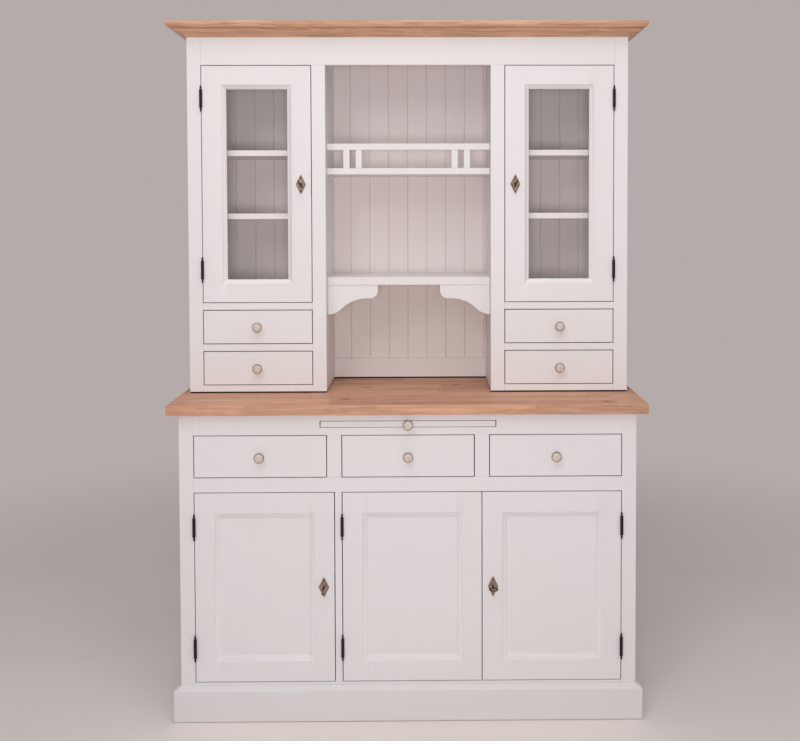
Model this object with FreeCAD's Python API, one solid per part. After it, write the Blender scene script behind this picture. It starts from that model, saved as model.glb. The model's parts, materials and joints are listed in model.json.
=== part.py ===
"""Painted dresser: a base unit with drawers, a pull-out board and three doors, an oak worktop,
and a glazed hutch with small drawers, open shelves and an oak cornice.

Millimetres. +Z is up, the front faces -Y, and the origin is on the floor under the middle of
the object's box.
"""
import FreeCAD, Part
import os
from math import cos, pi, sin

V = FreeCAD.Vector
Z_AXIS = V(0, 0, 1)

# How many flats stand for a circle
knob_side_count = 24
small_side_count = 12

# General fits and thicknesses
overrun = 2.0
door_gap = 2.5
slide_gap = 0.4
pocket_gap = 0.3
frame_t = 22.0
panel_t = 18.0
stile_w = 42.0

# Base unit
base_w = 1340.0
base_depth = 457.0
plinth_h = 94.0
plinth_rise = 10.0
plinth_out = 18.0
bottom_rail_h = 52.0
bottom_rail_show = 8.0
door_opening_h = 565.0
middle_rail_h = 42.0
drawer_opening_h = 126.0
top_rail_h = 63.0
muntin_w = 42.0
mullion_w = 20.0
base_back_t = 9.0
base_shelf_rise = 270.0
base_shelf_setback = 38.0

# Worktop
worktop_t = 30.0
worktop_side_over = 30.0
worktop_front_over = 28.0
worktop_edge_r = 2.5

# Pull-out board
board_slot_h = 19.5
board_slot_lip = 0.8
board_w = 512.0
board_t = 17.5
board_length = 420.0
board_travel = 300.0
board_stop_w = 300.0
board_runner_w = 78.0
board_hold = 12.0

# Hutch
hutch_side_over = 6.0
hutch_setback = 170.0
strip_t = 4.5
strip_w = 14.0
strip_inset = 2.0
hutch_bottom_rail_h = 19.5
hutch_drawer_h = 106.5
hutch_rail_h = 21.0
glass_opening_h = 729.5
frieze_h = 113.5
tower_opening_w = 338.0
tower_shelf_rise = 258.0
tower_shelf_pitch = 197.0
tower_shelf_setback = 30.0

# Back boards of the hutch
back_board_t = 12.0
back_board_pitch = 63.8
back_board_joint_x = -7.0
back_board_chamfer = 2.2
tongue_out = 4.0
tongue_t = 4.0
back_rail_h = 64.0
back_rail_t = 10.0
back_rail_chamfer = 3.0

# Open bay
bay_setback = 55.0
open_shelf_rise = 325.0
open_shelf_t = 25.0
gallery_rise = 671.5
gallery_t = 20.0
gallery_post_h = 56.5
gallery_post_w = 20.0
gallery_rail_t = 20.0
outer_post_inset = 65.5
post_pitch = 38.5
post_shift = -5.5
bracket_gap = 194.0
bracket_h = 93.5
bracket_t = 18.0
bracket_setback = 2.0

# Cornice
cornice_h = 41.5
cornice_out = 52.0
cornice_lap = 29.5
cornice_fillet = 8.0
cornice_ovolo_w = 13.0
cornice_ovolo_h = 11.0
cornice_quirk_w = 5.0
cornice_quirk_h = 2.2
cornice_lip_w = 2.5

# Drawers
front_t = 20.0
drawer_side_t = 12.0
drawer_bottom_t = 6.0
drawer_groove_rise = 9.0
drawer_groove_depth = 5.0
drawer_edge_gap = 1.5
base_stop_depth = 27.6
base_side_h = 104.0
hutch_stop_depth = 29.6
hutch_side_h = 84.0
guide_h = 20.0
guide_overlap = 15.0
kicker_t = 22.2
stop_t = 14.0
stop_w = 30.0

# Turned knobs
knob_r = 15.0
knob_reach = 27.0
knob_foot_r = 8.0
knob_neck_r = 5.0
knob_foot_h = 3.0
knob_neck_h = 13.0
knob_rim_h = 3.0
knob_crown = 3.5

# Doors
door_t = 20.0
panel_stile_w = 57.5
panel_rail_w = 60.0
panel_moulding_w = 16.0
glass_stile_w = 60.0
glass_rail_w = 57.0
glass_moulding_w = 13.0
moulding_depth = 9.0
moulding_quirk_w = 0.9
moulding_quirk_h = 1.5
moulding_bead_w = 3.2
moulding_bead_drop = 2.8
moulding_foot_w = 2.4
moulding_foot_drop = 0.9
door_panel_t = 6.0
panel_groove = 8.0
panel_play = 0.5
glass_t = 4.0
rebate_w = 8.0

# Hinges
hinge_from_end = 100.0
barrel_r = 4.6
barrel_h = 57.0
barrel_split = 0.4
barrel_stand = 5.2
pin_r = 2.2
pin_play = 0.06
pin_h = 22.0
leaf_t = 1.0
leaf_depth = 18.0
finial_h = 12.0
finial_neck_r = 1.9
finial_ball_r = 3.1

# Locks and keys
backset = 31.0
case_w = 42.0
case_t = 11.0
case_h = 56.0
case_wall = 1.0
forend_t = 2.0
forend_w = 13.0
forend_h = 70.0
plate_w = 31.0
plate_h = 62.0
plate_t = 1.6
keyhole_r = 3.0
keyhole_slot_w = 2.6
keyhole_slot_h = 9.5
key_shank_r = 2.5
key_reach = 40.0
key_bow_r = 14.0
key_bow_hole_r = 9.0
key_bow_t = 3.0
key_bit_h = 8.8
key_bit_w = 5.0
key_bit_t = 2.0
bolt_w = 27.0
bolt_h = 10.0
bolt_t = 5.0
bolt_rise = 11.0
bolt_throw = 9.0

# Flush bolt in the back of the centre door
bar_w = 9.0
bar_t = 4.0
bar_h = 82.0
bar_throw = 10.0
bar_inset = 16.0
bar_drop = 1.0
thumb_h = 8.0
thumb_drop = 50.0
thumb_out = 6.0

# How far each key bow is turned from upright, clockwise as seen from the front
key_turn = {"left": 14.0, "right": 90.0, "glass_left": -30.0, "glass_right": 25.0}

# Heights from the floor
door_z0 = plinth_h + plinth_rise + bottom_rail_show
door_z1 = door_z0 + door_opening_h
drawer_z0 = door_z1 + middle_rail_h
drawer_z1 = drawer_z0 + drawer_opening_h
base_h = drawer_z1 + top_rail_h
worktop_h = base_h + worktop_t
slot_z0 = drawer_z1 + kicker_t
slot_z1 = slot_z0 + board_slot_h
hutch_z0 = worktop_h + strip_t
low_z0 = hutch_z0 + hutch_bottom_rail_h
low_z1 = low_z0 + hutch_drawer_h
high_z0 = low_z1 + hutch_rail_h
high_z1 = high_z0 + hutch_drawer_h
glass_z0 = high_z1 + hutch_rail_h
glass_z1 = glass_z0 + glass_opening_h
hutch_z1 = glass_z1 + frieze_h

# Depths: the face of the base frame, the back, the face of the hutch
front_reach = max(key_reach, knob_reach, worktop_front_over, plinth_out)
face_y = (front_reach - base_depth) / 2
back_y = face_y + base_depth
frame_y = face_y + frame_t
hutch_y = face_y + hutch_setback
hutch_frame_y = hutch_y + frame_t
board_y = back_y - back_board_t
base_back_y = back_y - base_back_t
bay_y = hutch_y + bay_setback
base_box_depth = base_back_y - base_stop_depth - slide_gap - face_y - front_t
hutch_box_depth = board_y - hutch_stop_depth - slide_gap - hutch_y - front_t

# Widths
base_x = base_w / 2
hutch_w = base_w + 2 * hutch_side_over
board_slot_w = board_w + 2 * door_gap
opening_x = base_x - stile_w
base_inner_x = base_x - panel_t
drawer_opening_w = (2 * opening_x - 2 * muntin_w) / 3
muntin_x = drawer_opening_w / 2
door_w = (2 * opening_x - mullion_w - 5 * door_gap) / 3
hutch_x = hutch_w / 2
tower_x1 = hutch_x - stile_w
tower_x0 = tower_x1 - tower_opening_w
bay_x = tower_x0 - stile_w
tower_in0 = bay_x + panel_t
outer_post_x = bay_x - outer_post_inset
inner_post_x = outer_post_x - post_pitch
bracket_w = bay_x - bracket_gap / 2
tower_in1 = hutch_x - panel_t
left_door_x0 = -opening_x + door_gap
mullion_x0 = left_door_x0 + door_w + door_gap
mullion_x1 = mullion_x0 + mullion_w
centre_door_x0 = mullion_x1 + door_gap
right_door_x0 = centre_door_x0 + door_w + door_gap
door_bottom = door_z0 + door_gap
door_top = door_z1 - door_gap
glass_bottom = glass_z0 + door_gap
glass_top = glass_z1 - door_gap
door_mid = (door_bottom + door_top) / 2
glass_mid = (glass_bottom + glass_top) / 2
bar_x = centre_door_x0 + door_w - bar_inset
bar_y = face_y + (door_t - bar_t) / 2
bar_z1 = door_top - bar_drop


def block(x0, x1, y0, y1, z0, z1):
    return Part.makeBox(x1 - x0, y1 - y0, z1 - z0, V(x0, y0, z0))


def both(x0, x1, y0, y1, z0, z1):
    """A block on the right and its twin on the left."""
    return [block(x0, x1, y0, y1, z0, z1), block(-x1, -x0, y0, y1, z0, z1)]


def rod(radius, start, direction, length):
    return Part.makeCylinder(radius, length, start, direction)


def face_of(points):
    return Part.Face(Part.makePolygon(points + points[:1]))


def turned(centre, out, across, outline, flats):
    """A lathe shape in flats round the axis out; outline holds (radius, distance along) points
    and starts and may end on the axis."""
    side = out.cross(across)
    rings = []
    for radius, along in outline:
        middle = centre + out * along
        turns = [2 * pi * i / flats for i in range(flats)]
        rings.append([middle + (across * cos(a) + side * sin(a)) * radius for a in turns])
    faces = [face_of(rings[0])]
    for low, high in zip(rings, rings[1:]):
        for i in range(flats):
            j = (i + 1) % flats
            corners = [low[i], low[j], high[j], high[i]]
            if corners[2].isEqual(corners[3], slide_gap):
                corners = corners[:3]
            faces.append(face_of(corners))
    if outline[-1][0] > 0:
        faces.append(face_of(rings[-1]))
    return Part.Solid(Part.Shell(faces))


def one(shape):
    """The single solid of a cut or a common."""
    return shape.Solids[0]


def save(name, solids):
    Part.Compound([one(s) for s in solids]).exportStep("parts/" + name + ".step")


def mitred(profile, half_x, front_y, z0, height, reach):
    """A moulding in three mitred lengths round the front and both sides.
    The profile holds (outward, upward) points and arcs from a face plane."""
    run_x = half_x + reach
    wire = profile(lambda out, up: V(-run_x, front_y - out, z0 + up))
    front_bar = Part.Face(wire).extrude(V(2 * run_x, 0, 0))
    plan = [V(-half_x, front_y, z0), V(half_x, front_y, z0),
            V(run_x, front_y - reach, z0), V(-run_x, front_y - reach, z0)]
    front = front_bar.common(face_of(plan).extrude(V(0, 0, height)))
    wire = profile(lambda out, up: V(half_x + out, front_y - reach, z0 + up))
    side_bar = Part.Face(wire).extrude(V(0, back_y - front_y + reach, 0))
    plan = [V(half_x, front_y, z0), V(run_x, front_y - reach, z0),
            V(run_x, back_y, z0), V(half_x, back_y, z0)]
    side = side_bar.common(face_of(plan).extrude(V(0, 0, height)))
    return [front, side, side.mirror(V(0, 0, 0), V(1, 0, 0))]


# Base carcass
def plinth_profile(at):
    corners = [at(0, 0), at(plinth_out, 0), at(plinth_out, plinth_h), at(0, plinth_h + plinth_rise)]
    return Part.makePolygon(corners + corners[:1])


def make_worktop():
    side_x = base_x + worktop_side_over
    top = block(-side_x, side_x, face_y - worktop_front_over, back_y, base_h, worktop_h)
    front_edges = [e for e in top.Edges
                   if e.BoundBox.YMax < face_y and e.BoundBox.XLength > base_w]
    return top.makeFillet(worktop_edge_r, front_edges)


def strike(x, direction, y_face, z_mid):
    """The mortise in a frame member that a bolt enters."""
    reach_x = x + direction * (bolt_throw + pocket_gap)
    low_x = min(x - direction * overrun, reach_x)
    high_x = max(x - direction * overrun, reach_x)
    bolt_y = y_face + door_t / 2
    return block(low_x, high_x, bolt_y - bolt_t / 2 - pocket_gap, bolt_y + bolt_t / 2 + pocket_gap,
                 z_mid + bolt_rise - pocket_gap, z_mid + bolt_rise + bolt_h + pocket_gap)


def make_base():
    save("plinth", mitred(plinth_profile, base_x, face_y, 0, plinth_h + plinth_rise, plinth_out))
    save("worktop", [make_worktop()])
    save("base_side_panels", both(base_inner_x, base_x, frame_y, back_y, 0, base_h))
    save("base_stiles", both(opening_x, base_x, face_y, frame_y, 0, base_h))
    middle = block(-opening_x, opening_x, face_y, frame_y, door_z1, drawer_z0)
    keeper = block(bar_x - bar_w / 2 - pocket_gap, bar_x + bar_w / 2 + pocket_gap,
                   bar_y - pocket_gap, bar_y + bar_t + pocket_gap,
                   door_z1 - overrun, door_z1 + bar_throw + pocket_gap)
    bottom = block(-opening_x, opening_x, face_y, frame_y, door_z0 - bottom_rail_h, door_z0)
    top = block(-opening_x, opening_x, face_y, frame_y, drawer_z1, base_h)
    board_slot = block(-board_slot_w / 2, board_slot_w / 2, face_y - overrun, frame_y + overrun,
                       slot_z0 - board_slot_lip, slot_z1)
    save("base_rails", [middle.cut(keeper), bottom, top.cut(board_slot)])
    mullion = block(mullion_x0, mullion_x1, face_y, frame_y, door_z0, door_z1)
    muntins = both(muntin_x, muntin_x + muntin_w, face_y, frame_y, drawer_z0, drawer_z1)
    save("base_muntins", muntins + [mullion.cut(strike(mullion_x0, 1, face_y, door_mid))])
    save("base_back_panel", [block(-base_inner_x, base_inner_x, base_back_y, back_y,
                                   door_z0 - bottom_rail_h, base_h)])
    floor = block(-base_inner_x, base_inner_x, frame_y, base_back_y, door_z0 - panel_t, door_z0)
    deck = block(-base_inner_x, base_inner_x, frame_y, base_back_y, drawer_z0 - panel_t, drawer_z0)
    middle_x = (mullion_x0 + mullion_x1) / 2
    part_x0 = middle_x - panel_t / 2
    part_x1 = middle_x + panel_t / 2
    partition = block(part_x0, part_x1, frame_y, base_back_y, door_z0, drawer_z0 - panel_t)
    shelf_z = door_z0 + base_shelf_rise
    shelf_y = frame_y + base_shelf_setback
    left_shelf = block(-base_inner_x, part_x0, shelf_y, base_back_y, shelf_z, shelf_z + panel_t)
    right_shelf = block(part_x1, base_inner_x, shelf_y, base_back_y, shelf_z, shelf_z + panel_t)
    save("base_inner_boards", [floor, deck, partition, left_shelf, right_shelf])


# Hutch carcass
def back_boards():
    """Tongued and grooved boards with chamfered joints, trimmed between the side panels."""
    mid_y = board_y + back_board_t / 2
    t0 = mid_y - tongue_t / 2
    t1 = mid_y + tongue_t / 2
    g0 = t0 - pocket_gap
    g1 = t1 + pocket_gap
    depth = tongue_out + pocket_gap
    c = back_board_chamfer
    count = int((tower_in1 + back_board_joint_x) // back_board_pitch) + 1
    x0 = back_board_joint_x - count * back_board_pitch
    allowed = block(-tower_in1, tower_in1, board_y, back_y, hutch_z0, hutch_z1)
    boards = []
    while x0 < tower_in1:
        x1 = x0 + back_board_pitch
        outline = [V(x0 + c, board_y, hutch_z0), V(x1 - c, board_y, hutch_z0),
                   V(x1, board_y + c, hutch_z0), V(x1, t0, hutch_z0),
                   V(x1 + tongue_out, t0, hutch_z0), V(x1 + tongue_out, t1, hutch_z0),
                   V(x1, t1, hutch_z0), V(x1, back_y, hutch_z0), V(x0, back_y, hutch_z0),
                   V(x0, g1, hutch_z0), V(x0 + depth, g1, hutch_z0), V(x0 + depth, g0, hutch_z0),
                   V(x0, g0, hutch_z0), V(x0, board_y + c, hutch_z0)]
        solid = face_of(outline).extrude(V(0, 0, hutch_z1 - hutch_z0))
        if x0 < -tower_in1 or x1 + tongue_out > tower_in1:
            solid = solid.common(allowed)
        boards += solid.Solids[:1]
        x0 = x1
    return boards


def back_rail():
    rail = block(-bay_x, bay_x, board_y - back_rail_t, board_y, hutch_z0, hutch_z0 + back_rail_h)
    edges = [e for e in rail.Edges if e.BoundBox.ZMin > hutch_z0 + back_rail_h / 2
             and e.BoundBox.YMax < board_y - back_rail_t / 2]
    return rail.makeChamfer(back_rail_chamfer, edges)


def cornice_profile(at):
    quirk_x = cornice_out - cornice_ovolo_w
    quirk_z = cornice_h - cornice_fillet - cornice_ovolo_h
    groove_x = quirk_x - cornice_quirk_w
    run_x = groove_x + cornice_lip_w
    run_z = quirk_z - cornice_quirk_h
    bulge_share = 0.29
    wave_share = 0.07
    top_in = at(0, cornice_h)
    top_out = at(cornice_out, cornice_h)
    fillet = at(cornice_out, cornice_h - cornice_fillet)
    ovolo_mid = at(cornice_out - cornice_ovolo_w * bulge_share,
                   quirk_z + cornice_ovolo_h * bulge_share)
    quirk = at(quirk_x, quirk_z)
    groove_top = at(groove_x, quirk_z)
    groove_foot = at(groove_x, run_z)
    lip = at(run_x, run_z)
    upper_mid = at(run_x * (3 / 4 - wave_share), run_z * (3 / 4 - 2 * wave_share))
    middle = at(run_x / 2, run_z / 2)
    lower_mid = at(run_x * (1 / 4 + wave_share), run_z * (1 / 4 + 2 * wave_share))
    foot = at(0, 0)
    edges = [Part.makeLine(top_in, top_out), Part.makeLine(top_out, fillet),
             Part.Arc(fillet, ovolo_mid, quirk).toShape(), Part.makeLine(quirk, groove_top),
             Part.makeLine(groove_top, groove_foot), Part.makeLine(groove_foot, lip),
             Part.Arc(lip, upper_mid, middle).toShape(),
             Part.Arc(middle, lower_mid, foot).toShape(), Part.makeLine(foot, top_in)]
    return Part.Wire(edges)


def bracket(side):
    """A shaped bracket under the open shelf; its outline is in shares of its width and height."""
    top_z = hutch_z0 + open_shelf_rise
    y0 = bay_y + bracket_setback

    def at(x_share, z_share):
        return V(side * (bay_x - x_share * bracket_w), y0, top_z - z_share * bracket_h)

    tip_share = 0.19
    nose_shares = [(0.96, 0.36), (0.845, 0.46)]
    hollow_shares = [(0.53, 0.53), (0.275, 0.79)]
    toe_shares = [(0.15, 0.94), (0, 1)]
    wall = at(0, 0)
    tip = at(1, 0)
    shoulder = at(1, tip_share)
    nose = [at(*p) for p in nose_shares]
    hollow = [at(*p) for p in hollow_shares]
    toe = [at(*p) for p in toe_shares]
    edges = [Part.makeLine(wall, tip), Part.makeLine(tip, shoulder),
             Part.Arc(shoulder, nose[0], nose[1]).toShape(),
             Part.Arc(nose[1], hollow[0], hollow[1]).toShape(),
             Part.Arc(hollow[1], toe[0], toe[1]).toShape(), Part.makeLine(toe[1], wall)]
    return Part.Face(Part.Wire(edges)).extrude(V(0, bracket_t, 0))


def felt_strips():
    """The strips of felt that the hutch stands on, set in a little from its faces."""
    outer_x1 = hutch_x - strip_inset
    outer_x0 = outer_x1 - strip_w
    inner_x0 = bay_x + strip_inset
    inner_x1 = inner_x0 + strip_w
    y0 = hutch_y + strip_inset
    rail_y0 = board_y - back_rail_t + strip_inset
    rail_y1 = rail_y0 + strip_w
    strips = both(outer_x0, outer_x1, y0, rail_y1, worktop_h, hutch_z0)
    strips += both(inner_x0, inner_x1, y0, rail_y1, worktop_h, hutch_z0)
    strips += both(inner_x1, outer_x0, y0, y0 + strip_w, worktop_h, hutch_z0)
    strips.append(block(-inner_x0, inner_x0, rail_y0, rail_y1, worktop_h, hutch_z0))
    return strips


def make_hutch():
    save("hutch_side_panels",
         both(tower_in1, hutch_x, hutch_frame_y, back_y, hutch_z0, hutch_z1)
         + both(bay_x, tower_in0, hutch_frame_y, board_y, hutch_z0, hutch_z1 - panel_t))
    outer = both(tower_x1, hutch_x, hutch_y, hutch_frame_y, hutch_z0, hutch_z1)
    inner = both(bay_x, tower_x0, hutch_y, hutch_frame_y, hutch_z0, glass_z1)
    inner[0] = inner[0].cut(strike(tower_x0, -1, hutch_y, glass_mid))
    inner[1] = inner[1].cut(strike(-tower_x0, 1, hutch_y, glass_mid))
    save("hutch_stiles", outer + inner)
    rails = [block(-tower_x1, tower_x1, hutch_y, hutch_frame_y, glass_z1, hutch_z1)]
    for z0, z1 in ((hutch_z0, low_z0), (low_z1, high_z0), (high_z1, glass_z0)):
        rails += both(tower_x0, tower_x1, hutch_y, hutch_frame_y, z0, z1)
    save("hutch_rails", rails)
    save("hutch_top_board", [block(-tower_in1, tower_in1, hutch_frame_y, board_y,
                                   hutch_z1 - panel_t, hutch_z1)])
    save("hutch_back_boards", back_boards() + [back_rail()])
    inner_boards = []
    for z1 in (low_z0, high_z0, glass_z0):
        inner_boards += both(tower_in0, tower_in1, hutch_frame_y, board_y, z1 - panel_t, z1)
    for step in range(2):
        z0 = glass_z0 + tower_shelf_rise + step * tower_shelf_pitch
        inner_boards += both(tower_in0, tower_in1, hutch_frame_y + tower_shelf_setback, board_y,
                             z0, z0 + panel_t)
    save("hutch_inner_boards", inner_boards)
    shelf_z = hutch_z0 + open_shelf_rise
    shelf = block(-bay_x, bay_x, bay_y, board_y, shelf_z, shelf_z + open_shelf_t)
    save("open_shelf", [shelf, bracket(1), bracket(-1)])
    gallery_z = hutch_z0 + gallery_rise
    post_z0 = gallery_z + gallery_t
    post_z1 = post_z0 + gallery_post_h
    gallery = [block(-bay_x, bay_x, bay_y, board_y, gallery_z, post_z0),
               block(-bay_x, bay_x, bay_y, bay_y + gallery_post_w, post_z1, post_z1 + gallery_rail_t)]
    half = gallery_post_w / 2
    for post_x in (inner_post_x, outer_post_x):
        for x in (post_shift - post_x, post_shift + post_x):
            gallery.append(block(x - half, x + half, bay_y, bay_y + gallery_post_w,
                                 post_z0, post_z1))
    save("gallery", gallery)
    save("cornice", mitred(cornice_profile, hutch_x, hutch_y, hutch_z1 - cornice_lap,
                           cornice_h, cornice_out))
    save("felt_pads", felt_strips())


# Runners, guides, kickers and stops for the drawers and the pull-out board
def make_runners():
    parts = []
    parts += both(opening_x, base_inner_x, frame_y, base_back_y, drawer_z0, drawer_z0 + guide_h)
    parts += both(muntin_x, muntin_x + muntin_w, frame_y, base_back_y, drawer_z0, drawer_z0 + guide_h)
    kicker_x0 = muntin_x - guide_overlap
    parts += both(kicker_x0, kicker_x0 + board_runner_w + panel_t, frame_y, base_back_y, drawer_z1, slot_z0)
    parts += both(opening_x - guide_overlap, base_inner_x, frame_y, base_back_y, drawer_z1, slot_z0)
    rail_x0 = board_slot_w / 2
    parts += both(rail_x0, rail_x0 + panel_t, frame_y, base_back_y, slot_z0, slot_z1)
    parts += both(rail_x0 - board_hold, rail_x0 + panel_t, frame_y, base_back_y, slot_z1, base_h)
    stop_y = base_back_y - base_stop_depth
    pitch = drawer_opening_w + muntin_w
    for x in (-pitch, 0, pitch):
        parts.append(block(x - stop_w / 2, x + stop_w / 2, stop_y, base_back_y,
                           drawer_z0, drawer_z0 + stop_t))
    hutch_stop_y = board_y - hutch_stop_depth
    tower_mid = (tower_x0 + tower_x1) / 2
    for z in (low_z0, high_z0):
        parts += both(tower_in0, tower_x0, hutch_frame_y, board_y, z, z + guide_h)
        parts += both(tower_x1, tower_in1, hutch_frame_y, board_y, z, z + guide_h)
        parts += both(tower_mid - stop_w / 2, tower_mid + stop_w / 2, hutch_stop_y, board_y,
                      z, z + stop_t)
    save("drawer_runners", parts)


# Drawers and the pull-out board
def knob(x, y, z):
    """A turned knob that stands out of the face at y."""
    rim_end = knob_reach - knob_crown
    rim_start = rim_end - knob_rim_h
    dome_share = 0.5
    dome_end = knob_reach - knob_crown * dome_share ** 2
    outline = [(knob_foot_r, 0), (knob_neck_r, knob_foot_h), (knob_neck_r, knob_foot_h + knob_neck_h),
               (knob_r, rim_start), (knob_r, rim_end), (knob_r * dome_share, dome_end),
               (0, knob_reach)]
    return turned(V(x, y, z), V(0, -1, 0), V(1, 0, 0), outline, knob_side_count)


def make_drawer(name, x0, x1, z0, z1, y, box_depth, side_h):
    """A drawer for an opening from x0 to x1 and z0 to z1: front board with its knob, and box."""
    front = block(x0 + door_gap, x1 - door_gap, y, y + front_t, z0 + door_gap, z1 - door_gap)
    save("drawer_front_" + name, [front, knob((x0 + x1) / 2, y, (z0 + z1) / 2)])
    box_x0 = x0 + drawer_edge_gap
    box_x1 = x1 - drawer_edge_gap
    in_x0 = box_x0 + drawer_side_t
    in_x1 = box_x1 - drawer_side_t
    box_y0 = y + front_t
    box_y1 = box_y0 + box_depth
    box_z0 = z0 + slide_gap
    box_z1 = box_z0 + side_h
    bottom_z0 = box_z0 + drawer_groove_rise
    bottom_z1 = bottom_z0 + drawer_bottom_t
    bottom = block(in_x0 - drawer_groove_depth, in_x1 + drawer_groove_depth, box_y0, box_y1,
                   bottom_z0, bottom_z1)
    left = block(box_x0, in_x0, box_y0, box_y1, box_z0, box_z1).cut(bottom)
    right = block(in_x1, box_x1, box_y0, box_y1, box_z0, box_z1).cut(bottom)
    back = block(in_x0, in_x1, box_y1 - drawer_side_t, box_y1, bottom_z1, box_z1)
    save("drawer_box_" + name, [left, right, back, bottom])


def make_drawers():
    pitch = drawer_opening_w + muntin_w
    for name, x in (("base_left", -pitch), ("base_centre", 0), ("base_right", pitch)):
        make_drawer(name, x - muntin_x, x + muntin_x, drawer_z0, drawer_z1, face_y,
                    base_box_depth, base_side_h)
    for side, x0, x1 in (("left", -tower_x1, -tower_x0), ("right", tower_x0, tower_x1)):
        make_drawer("low_" + side, x0, x1, low_z0, low_z1, hutch_y, hutch_box_depth, hutch_side_h)
        make_drawer("high_" + side, x0, x1, high_z0, high_z1, hutch_y, hutch_box_depth, hutch_side_h)
    z0 = slot_z0 + slide_gap
    board = block(-board_w / 2, board_w / 2, face_y, face_y + board_length, z0, z0 + board_t)
    stop_y = frame_y + board_travel + overrun
    stop = block(-board_stop_w / 2, board_stop_w / 2, stop_y, stop_y + panel_t,
                 z0 - kicker_t + overrun, z0)
    save("pull_out_board", [board, stop, knob(0, face_y, z0 + board_t / 2)])


# Locks
def keyhole(x, y0, y1, z):
    hole = turned(V(x, y0, z), V(0, 1, 0), V(1, 0, 0), [(keyhole_r, 0), (keyhole_r, y1 - y0)],
                  small_side_count)
    half = keyhole_slot_w / 2
    return hole.fuse(block(x - half, x + half, y0, y1, z - keyhole_slot_h, z))


def lock_space(edge_x, s, y, z):
    """What a mortise lock takes out of a door whose free edge is at edge_x; s is 1 or -1,
    the side that edge is on."""
    case_y = y + (door_t - case_t) / 2
    forend_y = y + (door_t - forend_w) / 2
    xs = sorted((edge_x + s * overrun, edge_x - s * case_w))
    case = block(xs[0], xs[1], case_y, case_y + case_t, z - case_h / 2, z + case_h / 2)
    xs = sorted((edge_x + s * overrun, edge_x - s * forend_t))
    forend = block(xs[0], xs[1], forend_y, forend_y + forend_w, z - forend_h / 2, z + forend_h / 2)
    return case.fuse(forend).fuse(keyhole(edge_x - s * backset, y - overrun, case_y + overrun, z))


def make_lock(name, edge_x, s, y, z):
    key_x = edge_x - s * backset
    mid_y = y + door_t / 2
    case_y0 = mid_y - case_t / 2
    case_y1 = mid_y + case_t / 2
    xs = sorted((edge_x - s * forend_t, edge_x - s * case_w))
    case = block(xs[0], xs[1], case_y0, case_y1, z - case_h / 2, z + case_h / 2)
    xs = sorted((edge_x - s * (forend_t + case_wall), edge_x - s * (case_w - case_wall)))
    hollow = block(xs[0], xs[1], case_y0 + case_wall, case_y1 - case_wall,
                   z - case_h / 2 + case_wall, z + case_h / 2 - case_wall)
    xs = sorted((edge_x, edge_x - s * forend_t))
    forend = block(xs[0], xs[1], mid_y - forend_w / 2, mid_y + forend_w / 2,
                   z - forend_h / 2, z + forend_h / 2)
    xs = sorted((edge_x + s * overrun, edge_x - s * (forend_t + case_wall + overrun)))
    mouth = block(xs[0], xs[1], mid_y - bolt_t / 2 - pocket_gap, mid_y + bolt_t / 2 + pocket_gap,
                  z + bolt_rise - pocket_gap, z + bolt_rise + bolt_h + pocket_gap)
    half_window = keyhole_r + pocket_gap
    window = block(key_x - half_window, key_x + half_window, case_y0 - overrun,
                   case_y0 + case_wall + overrun, z - keyhole_slot_h, z + half_window)
    case = case.fuse(forend).cut(hollow).cut(mouth).cut(window)
    corners = [V(key_x, y, z + plate_h / 2), V(key_x + plate_w / 2, y, z),
               V(key_x, y, z - plate_h / 2), V(key_x - plate_w / 2, y, z)]
    plate = face_of(corners).extrude(V(0, -plate_t, 0))
    plate = plate.cut(keyhole(key_x, y - plate_t - overrun, y + overrun, z))
    save("lock_" + name, [case, plate])
    make_key(name, key_x, y, z, case_y1)
    xs = sorted((edge_x - s * pocket_gap, edge_x - s * (pocket_gap + bolt_w)))
    save("lock_bolt_" + name, [block(xs[0], xs[1], mid_y - bolt_t / 2, mid_y + bolt_t / 2,
                                     z + bolt_rise, z + bolt_rise + bolt_h)])


def make_key(name, x, y, z, case_y1):
    """Ring bow, shank and bit, built upright and then turned about the shank."""
    bow_y = y - key_reach + key_bow_r

    def ring(radius, half_t):
        return turned(V(x - half_t, bow_y, z), V(1, 0, 0), V(0, 1, 0),
                      [(radius, 0), (radius, 2 * half_t)], small_side_count)

    shank_y = bow_y + (key_bow_hole_r + key_bow_r) / 2
    length = case_y1 - case_wall - pocket_gap - shank_y
    shank = turned(V(x, shank_y, z), V(0, 1, 0), V(1, 0, 0),
                   [(key_shank_r, 0), (key_shank_r, length)], small_side_count)
    bow = ring(key_bow_r, key_bow_t / 2)
    hole = ring(key_bow_hole_r, key_bow_t / 2 + overrun)
    bit_y = y + door_t / 2 - key_bit_w / 2
    bit = block(x - key_bit_t / 2, x + key_bit_t / 2, bit_y, bit_y + key_bit_w, z - key_bit_h, z)
    key = bow.cut(hole).fuse([shank, bit])
    key.rotate(V(x, y, z), V(0, 1, 0), key_turn[name])
    save("key_" + name, [key])


# Doors
def inside(x0, x1, y0, y1, z0, z1, inset_x, inset_z):
    """A block between y0 and y1 that stays inset_x and inset_z from a door's edges."""
    return block(x0 + inset_x, x1 - inset_x, y0, y1, z0 + inset_z, z1 - inset_z)


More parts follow.
